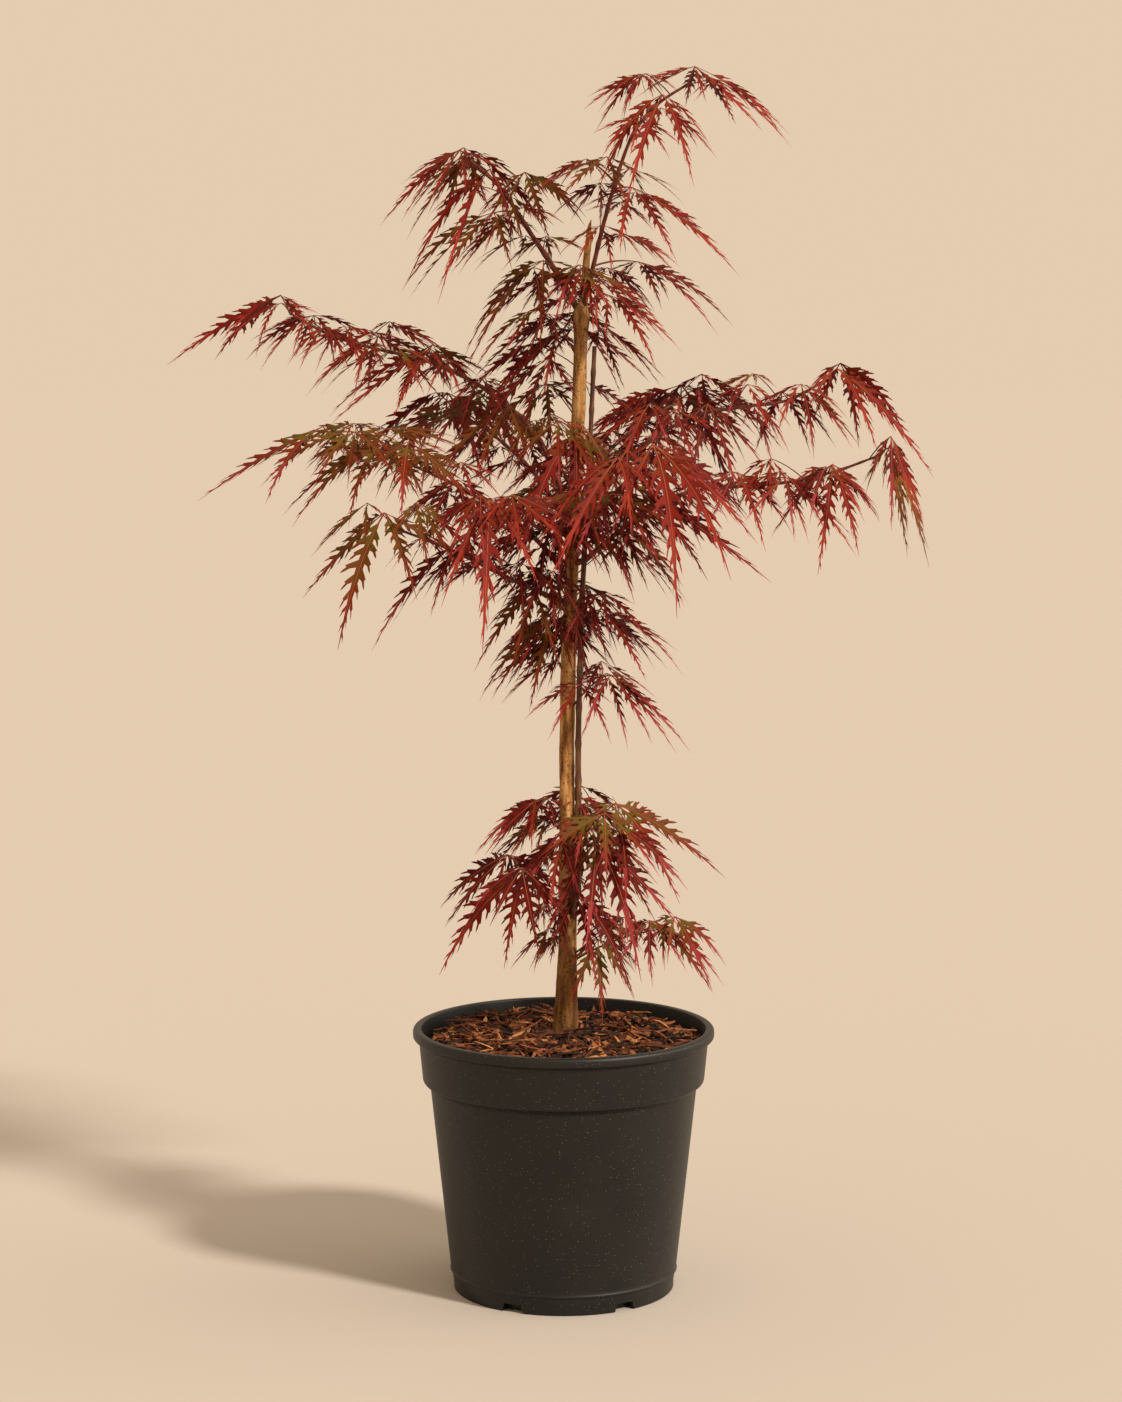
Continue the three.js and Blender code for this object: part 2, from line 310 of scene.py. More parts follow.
# %% Centre lines of boughs and side stem
# A limb starts at its ring that is nearest to the trunk, a low one first. From there the line goes on
# into the trunk, so that the bark of the two joins, and it swells towards the joint.
LIMB_SPACING = 5 * MM
LIMB_BURIED = 4 * MM
STEM_BURIED = 34 * MM
LOW_FIRST = 0.2
JOINT_SWELL = 1.2
ROOT_SWELL = 1.25
BOUGH_NODES = sorted(n for n in NODES if n.startswith("bough_"))
limbs = {}
for node in BOUGH_NODES + ["side_stem"]:
    rings = limb_rings(node)
    lowest = min(rings, key=lambda r: norm(r[0] - trunk_axis(r[0][2])) + LOW_FIRST * r[0][2])
    rings = in_order(rings, lowest[0])
    foot = trunk_axis(rings[0][0][2] - (STEM_BURIED if node == "side_stem" else LIMB_BURIED))
    radii = [rings[1][1] * JOINT_SWELL] + [r for _, r in rings[1:]]
    radii = [radii[0] * ROOT_SWELL] + radii
    limbs[node] = smooth_line([foot] + [p for p, _ in rings], radii, LIMB_SPACING)
print("centre lines:", {node: len(line[0]) for node, line in limbs.items()})

# %% [markdown]
# ## Tubes
#
# Limbs, shoots and leaf stalks are all tapering tubes. A bevelled curve is the quickest way to one: each
# point has its own radius, the ends are capped, and converting it leaves a clean mesh of rings.

# %% Making tubes
def tube_mesh(name, lines, roundness):
    """One mesh of capped, tapering tubes. lines is a list of (points, radii)."""
    curve = bpy.data.curves.new(name, "CURVE")
    curve.dimensions = "3D"
    curve.bevel_depth = 1
    curve.bevel_resolution = roundness
    curve.use_fill_caps = True
    for points, radii in lines:
        spline = curve.splines.new("POLY")
        spline.points.add(len(points) - 1)
        for slot, point, radius in zip(spline.points, points, radii):
            slot.co = (*point, 1)
            slot.radius = radius
    tube = bpy.data.objects.new(name, curve)
    bpy.context.collection.objects.link(tube)
    select_only(tube)
    bpy.ops.object.convert(target="MESH")
    piece = bpy.context.object
    piece.data.name = name
    bpy.ops.object.shade_smooth()
    return piece


def placed(piece, slot, *nodes):
    """Attaches a finished piece to the root body and hides the frame nodes that it stands for. The slot is
    not used.
    """
    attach(piece, "root")
    if nodes:
        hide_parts(*nodes)


# %% [markdown]
# ## Bark
#
# Old bark on a young maple is tan with shallow upright furrows that fade towards the top. A texture that
# is stretched along the trunk pushes the surface in and out, so the furrows are real relief. The colour
# is built up in layers that are multiplied: streaks of the grain, darker patches, small flecks, and the
# greyer foot. The side stem's bark is dark and only just ripening, and young boughs are smooth and
# red-brown, with a slight swelling at each bud.

# %% Bark materials
def bark_material(name, stops, grain_mm, stretch, depth, roughness):
    """Bark: streaks of colour along the limb, and a fine bump of the same grain."""
    material = new_material(name, stops[0][1], roughness=roughness, specular_ior_level=0.3)
    place = add_node(material, "ShaderNodeTexCoord")
    along = add_node(material, "ShaderNodeMapping", inputs={
        "Vector": (place, "Object"), "Scale": (1, 1, 1 / stretch)})
    grain = noise(material, (along, "Vector"), grain_mm * MM * 4, 6.0)
    grain.inputs["Roughness"].default_value = 0.65
    drive(material, "Base Color", ramp(material, (grain, "Fac"), stops), "Color")
    bump(material, (grain, "Fac"), 0.8, depth * MM)
    return material


OLD_STOPS = [(0.3, "#5f3f22"), (0.42, "#996b3a"), (0.54, "#c2935a"), (0.7, "#dfb77e")]
YOUNG_STOPS = [(0.3, "#3a140e"), (0.5, "#5a2318"), (0.7, "#7c3d28")]
STEM_STOPS = [(0.3, "#301b10"), (0.5, "#553420"), (0.7, "#845a36")]
old_bark = bark_material("furrowed old bark", OLD_STOPS, 1.6, 6, 1.2, 0.9)
young_bark = bark_material("smooth young bark", YOUNG_STOPS, 1.2, 4, 0.3, 0.55)
stem_bark = bark_material("ripening stem bark", STEM_STOPS, 1.2, 5, 0.4, 0.7)
print("three kinds of bark")

# %% Patches and flecks of the old bark
PATCH = 11 * MM
FLECK = 2.6 * MM
FLECK_SHARE = 0.8
streaks = shader_of(old_bark).inputs["Base Color"].links[0].from_node
along = next(n for n in old_bark.node_tree.nodes if n.type == "MAPPING")
where = add_node(old_bark, "ShaderNodeTexCoord")
patch_noise = noise(old_bark, (along, "Vector"), PATCH, 3.0)
patches = ramp(old_bark, (patch_noise, "Fac"), [(0.32, "#7a6654"), (0.44, "#dccfc0"), (0.55, "#ffffff")])
fleck_noise = noise(old_bark, (where, "Object"), FLECK, 3.0)
flecks = ramp(old_bark, (fleck_noise, "Fac"), [(0.34, "#8d7964"), (0.44, "#ffffff")])
patched = multiplied(old_bark, 1.0, streaks, patches)
flecked = multiplied(old_bark, FLECK_SHARE, patched, flecks)
print("the old bark has patches of", round(PATCH / MM), "mm and flecks of", round(FLECK / MM, 1), "mm")

# %% Darker foot and top of the old bark
# The old bark grows greyer and darker towards the foot, and a little darker again higher up the trunk.
TRUNK_FOOT = trunk[0][0][2]
TINT_SPAN = 0.65
TINT_STOPS = [(0.0, "#a09280"), (0.1, "#b8aa98"), (0.2, "#ffffff"), (0.7, "#ffffff"), (1.0, "#dcd6cc")]
axes = add_node(old_bark, "ShaderNodeSeparateXYZ", inputs={"Vector": (where, "Object")})
climb = add_node(old_bark, "ShaderNodeMapRange", inputs={
    "Value": (axes, "Z"), "From Min": TRUNK_FOOT, "From Max": TRUNK_FOOT + TINT_SPAN})
height_tint = ramp(old_bark, (climb, "Result"), TINT_STOPS)
drive(old_bark, "Base Color", multiplied(old_bark, 1.0, flecked, height_tint), "Color")
print("the old bark is mixed from", len(old_bark.node_tree.nodes), "nodes")

# %% [markdown]
# ## Trunk, boughs and side stem
#
# The trunk is one tube from the mulch to the tip of its broken leader: at the fork under the top boughs
# it swells into a knuckle, and a dry stub of the old leader stands on above it. Buttresses push its foot
# out a little. Three textures then give it furrows, grain and slow bends, the first two stronger on the
# old wood low down.

# %% Relief
def relief(piece, name, kind, size_mm, stretch, strength_mm, group=""):
    """Pushes a surface in and out by a procedural texture that is stretched upwards, and applies it."""
    texture = bpy.data.textures.new(name, kind)
    texture.noise_scale = 1
    bpy.ops.object.empty_add()
    ruler = bpy.context.object
    ruler.scale = (size_mm * MM, size_mm * MM, size_mm * MM * stretch)
    bpy.context.view_layer.update()
    bpy.context.view_layer.objects.active = piece
    push = piece.modifiers.new(name, "DISPLACE")
    push.texture = texture
    push.texture_coords = "OBJECT"
    push.texture_coords_object = ruler
    push.strength = strength_mm * MM
    push.vertex_group = group
    bpy.ops.object.modifier_apply(modifier=name)
    bpy.data.objects.remove(ruler)


# %% Trunk line
KNUCKLE_SWELL = 0.3
KNUCKLE_LENGTH = 11 * MM
KNUCKLE_BELOW_TOP = 4 * MM
FLARE_HEIGHT = 30 * MM
MOST_FLARE = 1.1        # the foot's radius over the radius at FLARE_HEIGHT
# The stub's points: up, right and back from the fork in mm, and its radius over the trunk's there.
STUB = [(3, 0.5, 0, 1.0), (7, 1, 0, 0.75), (11, 1.5, 0.5, 0.58), (24, 2.5, 1, 0.52), (38, 4, 0.5, 0.5),
        (52, 5, 0, 0.46), (64, 6.5, -0.5, 0.44), (74, 7, 0, 0.36), (80, 8, 0.5, 0.2), (84, 9, 0.5, 0.06)]
heights = trunk[0][:, 2]
fork = trunk[0][-1]
slim = np.minimum(trunk[1], np.interp(TRUNK_FOOT + FLARE_HEIGHT, heights, trunk[1]) * MOST_FLARE)
from_knuckle = (heights - fork[2] + KNUCKLE_BELOW_TOP) / KNUCKLE_LENGTH
knuckled = slim * (1 + KNUCKLE_SWELL * np.exp(-from_knuckle ** 2))
stub_points = [fork + np.array([right, back, up]) * MM for up, right, back, _ in STUB]
stub_radii = [trunk[1][-1] * share for *_, share in STUB]
stub = smooth_line([fork] + stub_points, [knuckled[-1]] + stub_radii, TRUNK_SPACING)
whole = (np.vstack([trunk[0], stub[0][1:]]), np.concatenate([knuckled, stub[1][1:]]))
print("the leader's stub stands", round(whole[0][-1][2] - fork[2], 3), "m above the fork")

# %% Trunk
BUTTRESSES = 5
BUTTRESS_DEPTH = 0.14
BUTTRESS_FADE = 22 * MM
BUTTRESS_TURN = 0.6
YOUNGEST = 0.2          # how much of the relief is left at the top
AGE_SPAN = 0.72
trunk_piece = tube_mesh("trunk_bark", [whole], 22)
for vertex in trunk_piece.data.vertices:
    middle = Vector(trunk_axis(vertex.co.z))
    out = vertex.co - middle
    depth = BUTTRESS_DEPTH * math.exp(-(vertex.co.z - TRUNK_FOOT) / BUTTRESS_FADE)
    bearing = math.atan2(out.y, out.x)
    if vertex.co.z < fork[2]:
        vertex.co = middle + out * (1 + depth * math.cos(BUTTRESSES * bearing + BUTTRESS_TURN))
age = trunk_piece.vertex_groups.new(name="age")
for vertex in trunk_piece.data.vertices:
    grown = (vertex.co.z - TRUNK_FOOT) / (fork[2] - TRUNK_FOOT)
    age.add([vertex.index], max(YOUNGEST, 1 - AGE_SPAN * grown), "REPLACE")
# Each relief: its texture, the size of its features in mm, their stretch upwards and their depth in mm.
relief(trunk_piece, "furrows", "VORONOI", 7, 5, 1.7, "age")
relief(trunk_piece, "grain", "CLOUDS", 2.2, 4, 0.9, "age")
relief(trunk_piece, "bends", "CLOUDS", 30, 2, 1.6)
dress(trunk_piece, old_bark)
placed(trunk_piece, "bark", "trunk")
print("the trunk has", len(trunk_piece.data.polygons), "faces")

# %% Boughs and side stem
BUD_SPACING = 34 * MM
BUD_SWELL = 0.22
BUD_LENGTH = 4 * MM
FINE_SPACING = 1.8 * MM


def run_along(points):
    """How far along a line each of its points lies."""
    return np.concatenate([[0], np.cumsum(norm(np.diff(points, axis=0), axis=1))])


def with_buds(line):
    """The same limb with a small swelling at each pair of buds."""
    points, radii = line
    run = run_along(points)
    off = (run + BUD_SPACING / 2) % BUD_SPACING - BUD_SPACING / 2
    return points, radii * (1 + BUD_SWELL * np.exp(-(off / BUD_LENGTH) ** 2))


for node, line in limbs.items():
    fine = smooth_line(*line, FINE_SPACING)
    piece = tube_mesh(f"{node}_bark", [with_buds(fine)], 5)
    relief(piece, "knots", "CLOUDS", 5, 3, 0.5)
    dress(piece, stem_bark if node == "side_stem" else young_bark)
    placed(piece, "young_bark", node)
print(len(limbs), "boughs and stems have bark")

# %% [markdown]
# ## The pot
#
# A nursery pot is injection-moulded polypropylene: a thin tapering wall with a deep collar, a rolled lip
# that makes the rim stiff, and feet between drain notches. It is turned like a lathe part, by extruding a
# circle upwards ring by ring, over the lip and down the inside. The notches are cut with a boolean.

# %% Pot profile
# The profile starts under the foot, climbs the outside, turns over the lip and goes down the inside to
# the floor.
POT_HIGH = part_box("pot")[1]
RIM = POT_HIGH.x
HEIGHT = POT_HIGH.z
LIP = 8.5 * MM
COLLAR = 49 * MM
COLLAR_TOP = RIM - 5.5 * MM
COLLAR_FOOT = RIM - 9 * MM
BODY_TOP = RIM - 16.5 * MM
BODY_FOOT = RIM - 34 * MM
BASE = RIM - 37 * MM
BASE_BAND = 16 * MM
BASE_ROUND = 1.5 * MM
WALL = 2.4 * MM
FLOOR_TOP = 10 * MM
LIP_ROUND = 3.2 * MM
LIP_UNDERSIDE = 2.2 * MM


def quarter(centre_r, centre_z, radius, start, end, steps=6):
    """Points (r, z) of an arc, angles in degrees from the outward direction."""
    turns = [math.radians(start + (end - start) * k / steps) for k in range(steps + 1)]
    return [(centre_r + radius * math.cos(t), centre_z + radius * math.sin(t)) for t in turns]


def straight(start, end, steps):
    """Points (r, z) on the way from start, which is left out, to end."""
    return [tuple(a + (b - a) * k / steps for a, b in zip(start, end)) for k in range(1, steps + 1)]


step_z = HEIGHT - COLLAR
body_foot = (BODY_FOOT, BASE_BAND + 8 * MM)
collar_foot = (COLLAR_FOOT, step_z + 2 * MM)
profile = [(BASE - BASE_ROUND, 0)]
profile += quarter(BASE - BASE_ROUND, BASE_ROUND, BASE_ROUND, -60, 0, 3)
profile += [(BASE, BASE_BAND - 1 * MM), (BASE + 0.4 * MM, BASE_BAND)]
profile += quarter(BODY_FOOT - 1.2 * MM, BASE_BAND + 2.2 * MM, 1.4 * MM, -70, 40, 4)
profile += [(BODY_FOOT - 0.6 * MM, BASE_BAND + 4.6 * MM), body_foot]
profile += straight(body_foot, (BODY_TOP, step_z - 10 * MM), 8)
profile += [(BODY_TOP + 0.3 * MM, step_z - 6 * MM)]
profile += quarter(COLLAR_FOOT - 4 * MM, step_z + 2 * MM, 4 * MM, -75, 0)
profile += straight(collar_foot, (COLLAR_TOP, HEIGHT - LIP - 3 * MM), 4)
profile += quarter(RIM - LIP_UNDERSIDE, HEIGHT - LIP + 1.6 * MM, LIP_UNDERSIDE, -80, 0, 4)
profile += quarter(RIM - LIP_ROUND, HEIGHT - LIP_ROUND, LIP_ROUND, 0, 90)
profile += quarter(COLLAR_TOP - WALL + 1.5 * MM, HEIGHT - 1.5 * MM, 1.5 * MM, 90, 180, 4)
profile += [(COLLAR_FOOT - WALL, step_z + 2 * MM), (BODY_TOP - WALL, step_z - 4 * MM)]
profile += [(BODY_FOOT - WALL, FLOOR_TOP)]
print("the pot's profile has", len(profile), "points")

# %% Turn the pot
POT_SIDES = 128
SAME_RADIUS = 1e-7
bpy.ops.object.select_all(action="DESELECT")
bpy.ops.mesh.primitive_circle_add(vertices=POT_SIDES, radius=profile[0][0], fill_type="NGON")
pot = bpy.context.object
pot.name = "nursery_pot"
bpy.ops.object.mode_set(mode="EDIT")
bpy.ops.mesh.select_all(action="SELECT")
for (r0, z0), (r1, z1) in zip(profile, profile[1:]):
    bpy.ops.mesh.extrude_region_move(TRANSFORM_OT_translate={"value": (0, 0, z1 - z0)})
    if abs(r1 - r0) > SAME_RADIUS:
        bpy.ops.transform.resize(value=(r1 / r0, r1 / r0, 1), center_override=(0, 0, z1))
bpy.ops.mesh.select_all(action="SELECT")
bpy.ops.mesh.remove_doubles(threshold=1e-6)
bpy.ops.mesh.normals_make_consistent(inside=False)
bpy.ops.object.mode_set(mode="OBJECT")
print("the pot is", round(2 * RIM, 3), "m wide and", round(HEIGHT, 3), "m high")

# %% Cut the drain notches
NOTCHES = 6
NOTCH = Vector((25, 20, 8)) * MM
NOTCH_TURN = math.radians(-87)
NOTCH_TAPER = 0.3
cutters = []
for k in range(NOTCHES):
    turn = NOTCH_TURN - math.pi / 2 + k * math.tau / NOTCHES
    middle = (BASE * math.cos(turn), BASE * math.sin(turn), 0)
    bpy.ops.mesh.primitive_cube_add(size=1, location=middle, rotation=(0, 0, turn + math.pi / 2))
    cutter = bpy.context.object
    cutter.scale = (NOTCH.x, NOTCH.y, NOTCH.z * 2)
    bpy.ops.object.transform_apply(location=True, rotation=True, scale=True)
    for vertex in cutter.data.vertices:
        if vertex.co.z > 0:
            side = Vector((-math.sin(turn), math.cos(turn), 0))
            vertex.co -= side * (vertex.co - Vector(middle)).dot(side) * NOTCH_TAPER
    cutters.append(cutter)
select_only(cutters[0])
for cutter in cutters:
    cutter.select_set(True)
bpy.ops.object.join()
cutter = bpy.context.object
select_only(pot)
cut = pot.modifiers.new("notches", "BOOLEAN")
cut.operation = "DIFFERENCE"
cut.object = cutter
bpy.ops.object.modifier_apply(modifier="notches")
bpy.data.objects.remove(cutter)
bpy.ops.object.shade_smooth_by_angle(angle=math.radians(40))
print(NOTCHES, "drain notches are cut")

# %% Pot plastic
# Moulded black polypropylene: nearly black, a low sheen, a faint grain from the mould, and pale dust in
# fine specks.
SPECKS = 3.5 * MM
FILM = 60 * MM
MOULD_GRAIN = 1.2 * MM
plastic = new_material("moulded black polypropylene", "#0d0c0b", roughness=0.5, ior=1.49,
                       specular_ior_level=0.42)
where = add_node(plastic, "ShaderNodeTexCoord")
dust = add_node(plastic, "ShaderNodeTexVoronoi", inputs={
    "Vector": (where, "Object"), "Scale": 1 / SPECKS})
speck = add_node(plastic, "ShaderNodeMath", {"operation": "LESS_THAN"}, {0: (dust, "Distance"), 1: 0.1})
film = noise(plastic, (where, "Object"), FILM, 5.0)
tone = ramp(plastic, (film, "Fac"), [(0.35, "#080707"), (0.6, "#0e0c0b"), (0.75, "#171412")])
dusty = add_node(plastic, "ShaderNodeMixRGB", inputs={
    "Fac": (speck, "Value"), "Color1": (tone, "Color"), "Color2": linear("#6a6058")})
sheen = add_node(plastic, "ShaderNodeMapRange", inputs={
    "Value": (film, "Fac"), "To Min": 0.38, "To Max": 0.58})
drive(plastic, "Base Color", dusty, "Color")
drive(plastic, "Roughness", sheen, "Result")
bump(plastic, (noise(plastic, (where, "Object"), MOULD_GRAIN, 2.0), "Fac"), 0.35, 0.2 * MM)
dress(pot, plastic)
placed(pot, "pot", "pot")
print("the pot has", len(pot.data.polygons), "faces")

# %% [markdown]
# ## Bark mulch
#
# The mix is covered with coarse shredded bark: thin splinters of many lengths that lie across each other.
# A few splinters are shaped once, and then copied by the hundred with a turn and a size of their own, in
# four browns. The near-black brown among them is painted shade for the dark gaps between splinters, and
# the palest is partly the bark's own paler colour and partly painted highlight. The mix itself keeps the
# frame's shape under them.

# %% Potting mix
CRUMB = 3 * MM
mix = new_material("damp potting mix", "#241509", roughness=0.95)
where = add_node(mix, "ShaderNodeTexCoord")
crumb = noise(mix, (where, "Object"), CRUMB, 6.0)
browns = ramp(mix, (crumb, "Fac"), [(0.35, "#1a0d06"), (0.55, "#3b2113"), (0.75, "#5b3a24")])
drive(mix, "Base Color", browns, "Color")
bump(mix, (crumb, "Fac"), 1.0, 2 * MM)
dress(NODES["potting_mix"], mix)
print("the mix is made of crumbs of", round(CRUMB / MM), "mm")

# %% Shapes of the splinters
# Length, width and thickness in mm.
SPLINTERS = [(34, 3.4, 1.8), (26, 5.2, 2.0), (20, 2.6, 1.6), (15, 5.4, 2.6), (11, 3.6, 2.4),
             (46, 2.8, 1.5), (30, 4.6, 1.6), (42, 1.6, 1.2), (34, 1.3, 1.1), (26, 1.8, 1.3),
             (50, 2.0, 1.3)]
SPLINTER_SWELL = (2.2, 1.25, 1.1, 0.85, 0.8, 0.35)      # of the width, step by step
SPLINTER_STEPS = len(SPLINTER_SWELL)


def splinter(size, rng):
    """One shredded piece of bark, extruded step by step along a crooked line: corners and faces."""
    length, width, thickness = (s * MM for s in size)
    bpy.ops.object.select_all(action="DESELECT")
    bpy.ops.mesh.primitive_plane_add(size=1, location=(-length / 2, 0, 0), rotation=(0, math.pi / 2, 0))
    chip = bpy.context.object
    chip.scale = (thickness, width, 1)
    bpy.ops.object.transform_apply(location=True, rotation=True, scale=True)
    bpy.ops.object.mode_set(mode="EDIT")
    bpy.ops.mesh.select_all(action="SELECT")
    bpy.ops.transform.resize(value=(1, 0.35, 0.5), center_override=(-length / 2, 0, 0))
    bow = rng.uniform(-0.12, 0.12)
    y = z = 0.0
    step = length / SPLINTER_STEPS
    for k, usual_swell in enumerate(SPLINTER_SWELL):
        dy = rng.uniform(-0.25, 0.25) * max(width, 6 * MM)
        dz = rng.uniform(-0.4, 0.4) * max(thickness, 2.4 * MM)
        dz += bow * step * (1 - 2 * k / SPLINTER_STEPS)
        y, z = y + dy, z + dz
        bpy.ops.mesh.extrude_region_move(TRANSFORM_OT_translate={"value": (step, dy, dz)})
        swell = usual_swell * rng.uniform(0.85, 1.15)
        here = (-length / 2 + length * (k + 1) / SPLINTER_STEPS, y, z)
        bpy.ops.transform.resize(value=(1, swell, 0.5 + swell / 2), center_override=here)
    bpy.ops.mesh.select_all(action="SELECT")
    bpy.ops.mesh.normals_make_consistent(inside=False)
    bpy.ops.object.mode_set(mode="OBJECT")
    points = np.array([v.co for v in chip.data.vertices])
    faces = [tuple(p.vertices) for p in chip.data.polygons]
    bpy.data.objects.remove(chip)
    return points, faces


rng = random.Random(3)
shapes = [splinter(size, rng) for size in SPLINTERS]
print("splinters come in", len(shapes), "shapes")

# %% Level of the mulch
MIX_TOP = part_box("potting_mix")[1].z
MIX_EDGE_DROP = 10 * MM
MULCH_RADIUS = 126 * MM
# Each heap's x, y, height and spread in mm.
HEAPS = [(-62, 48, 8, 34), (-14, 66, 6, 30), (58, 52, 7, 34), (-84, -18, 5, 30), (84, -8, 5, 28),
         (28, -80, 5, 30), (-40, -68, 4, 28)]


def mulch_level(x, y):
    """Height of the mulch at a place: a low dome with heaps."""
    level = MIX_TOP - MIX_EDGE_DROP * (math.hypot(x, y) / MULCH_RADIUS) ** 2
    for heap_x, heap_y, height, spread in HEAPS:
        far = math.hypot(x - heap_x * MM, y - heap_y * MM) / (spread * MM)
        level += height * MM * math.exp(-far * far)
    return level


print("the mulch is", round(mulch_level(0, 0), 3), "m high in the middle")

# %% Lay the splinters
SPLINTER_COUNT = 1900
# Mid, dark, near-black and pale browns. The near-black one is painted shade for the gaps between splinters,
# and the pale one is partly the bark's own paler colour and partly painted highlight.
MULCH_AND_PAINTED_LIGHT_STOPS = [
    [(0.35, "#5a2f19"), (0.6, "#935a35")],
    [(0.35, "#3a1e12"), (0.6, "#62341c")],
    [(0.35, "#120804"), (0.6, "#29150a")],
    [(0.35, "#7d4a28"), (0.6, "#bb8250")],
]
MULCH_SHARES = [27, 30, 34, 9]


def turned(points, yaw, pitch, roll):
    """Points turned by roll, then pitch, then yaw."""
    return points @ np.array(Euler((roll, pitch, yaw)).to_matrix()).T


def add_piece(name, mesh, kinds, materials):
    """A new object of a mesh, with its materials and the number of each face's material."""
    piece = bpy.data.objects.new(name, mesh)
    bpy.context.collection.objects.link(piece)
    dress(piece, *materials)
    mesh.polygons.foreach_set("material_index", kinds)
    return piece


rng = random.Random(11)
chip_points, chip_faces, chip_colours = [], [], []
count = 0
for _ in range(SPLINTER_COUNT):
    points, faces = rng.choice(shapes)
    radius = MULCH_RADIUS * math.sqrt(rng.uniform(0.008, 1))
    bearing = rng.uniform(0, math.tau)
    size = rng.uniform(0.7, 1.2) * (1 if radius < MULCH_RADIUS * 0.9 else 0.6)
    along_rim = bearing + math.pi / 2 + rng.uniform(-0.6, 0.6)
    yaw = rng.uniform(0, math.tau) if radius < MULCH_RADIUS * 0.85 else along_rim
    x, y = radius * math.cos(bearing), radius * math.sin(bearing)
    pitch = rng.gauss(0, 0.2 if radius < MULCH_RADIUS * 0.8 else 0.1)
    body = turned(points * size, yaw, pitch, rng.uniform(-0.8, 0.8))
    chip_points.append(body + [x, y, mulch_level(x, y) + rng.uniform(-1, 5) * MM])
    chip_faces += [tuple(count + i for i in face) for face in faces]
    chip_colours += [rng.choices(range(len(MULCH_AND_PAINTED_LIGHT_STOPS)), MULCH_SHARES)[0]] * len(faces)
    count += len(points)
mulch_materials = [bark_material(f"shredded bark {k + 1}", stops, 1.0, 1, 0.5, 0.9)
                   for k, stops in enumerate(MULCH_AND_PAINTED_LIGHT_STOPS)]
mulch_mesh = bpy.data.meshes.new("bark_mulch")
mulch_mesh.from_pydata(np.vstack(chip_points).tolist(), [], chip_faces)
mulch = add_piece("bark_mulch", mulch_mesh, chip_colours, mulch_materials)
placed(mulch, "mulch")
print("the mulch has", SPLINTER_COUNT, "splinters and", len(mulch.data.polygons), "faces")

# %% [markdown]
# ## Leaves
#
# A cutleaf maple's leaf is a hand of five or seven fingers. Each finger is a feather: a narrow blade
# along a midrib, with slender teeth that point forwards on both sides, and a long thread of a tip. The
# fingers leave the end of the stalk together, arch over and hang. One finger is built flat, a few times
# over, and bent along an arc of its own for every finger of every leaf.

# %% One finger of a leaf
INNER, MIDDLE, OUTER, PAINTED_SHADE, RIB = range(5)     # zones of a finger
BODY_STEPS = 10
STALKY = 0.1            # the finger's share without lobes, then the share where the thread begins
THREAD = 0.86
LEAST_REACH = 0.012     # half widths, as shares of the finger's length
LEAST_BLADE = 0.006
MOST_REACH = 0.085
BLADE_SHARE = 0.24
# A lobe's rim from its foot over its tip and back: along and across, as shares. The faces at its first
# points keep the finger's colour, and the others take a darker painted shade.
LOBE = [(0, 0), (0.27, 0.45), (0.5, 0.82), (0.57, 0.68), (0.8, 0.9), (1, 1), (0.82, 0.7), (0.6, 0.42),
        (0.47, 0)]
LIT_POINTS = 5


def reach_of_lobes(s):
    """Half width that the tips of the lobes reach at a place along the finger."""
    t = min(max((s - STALKY) / (THREAD - STALKY), 0), 1)
    return LEAST_REACH + MOST_REACH * math.sin(math.pi * t ** 0.8) ** 1.1 * (1 - 0.25 * t)


def half_blade(s):
    """Half width of the undivided blade along the midrib."""
    if s > THREAD:
        return 0.001 + 0.005 * (1 - s) / (1 - THREAD)
    return LEAST_BLADE + BLADE_SHARE * (reach_of_lobes(s) - LEAST_REACH)


def finger_pattern(rng, lobes):
    """A flat finger of length 1: points (along, across, lift), triangles and the zone of each."""
    points, triangles, zones = [], [], []
    inner_end, middle_end = rng.uniform(0.26, 0.42), rng.uniform(0.5, 0.68)
    fold = rng.uniform(0.12, 0.28)

    def zone(s):
        return INNER if s < inner_end else MIDDLE if s < middle_end else OUTER

    def point(along, across, extra=0.0):
        points.append((along, across, fold * abs(across) + extra))
        return len(points) - 1

    stations = [k / BODY_STEPS for k in range(BODY_STEPS + 1)]
    rows = [[point(s, side * half_blade(s)) for side in (-1, 0, 1)] for s in stations]
    for s, (a, b, c), (d, e, f) in zip(stations, rows, rows[1:]):
        triangles += [(a, b, e), (a, e, d), (b, c, f), (b, f, e)]
        zones += [zone(s + 0.05)] * 4
    for side in (-1, 1):
        step = 0.62 / lobes
        shift = rng.uniform(0, 0.3) + (0.5 if side > 0 else 0)
        for k in range(lobes + 2):
            start = 0.11 + step * (k + shift)
            long = step * rng.uniform(1.15, 1.65) * (1 if k < lobes else 0.6)
            if start + long > 0.97:
                continue
            foot = 0.9 * half_blade(start)
            tip = reach_of_lobes(start + 0.6 * long) * rng.uniform(0.68, 1.2) + 0.008
            rim = [point(start + u * long, side * (foot + v * (tip - foot))) for u, v in LOBE]
            heart = point(start + 0.42 * long, side * (foot + 0.3 * (tip - foot)))
            for k_rim, (a, b) in enumerate(zip(rim, rim[1:])):
                triangles.append((heart, a, b) if side > 0 else (heart, b, a))
                # The rim's later faces take the painted shade.
                zones.append(zone(points[a][0]) if k_rim < LIT_POINTS else PAINTED_SHADE)
            triangles.append((heart, rim[-1], rim[0]) if side > 0 else (heart, rim[0], rim[-1]))
            zones.append(zone(start))
    rib = [[point(s, side * 0.0045 * (1 - 0.75 * s), 0.003) for side in (-1, 1)] for s in stations[:-2]]
    for (a, b), (c, d) in zip(rib, rib[1:]):
        triangles += [(a, b, d), (a, d, c)]
        zones += [RIB, RIB]
    return np.array(points), np.array(triangles), np.array(zones)


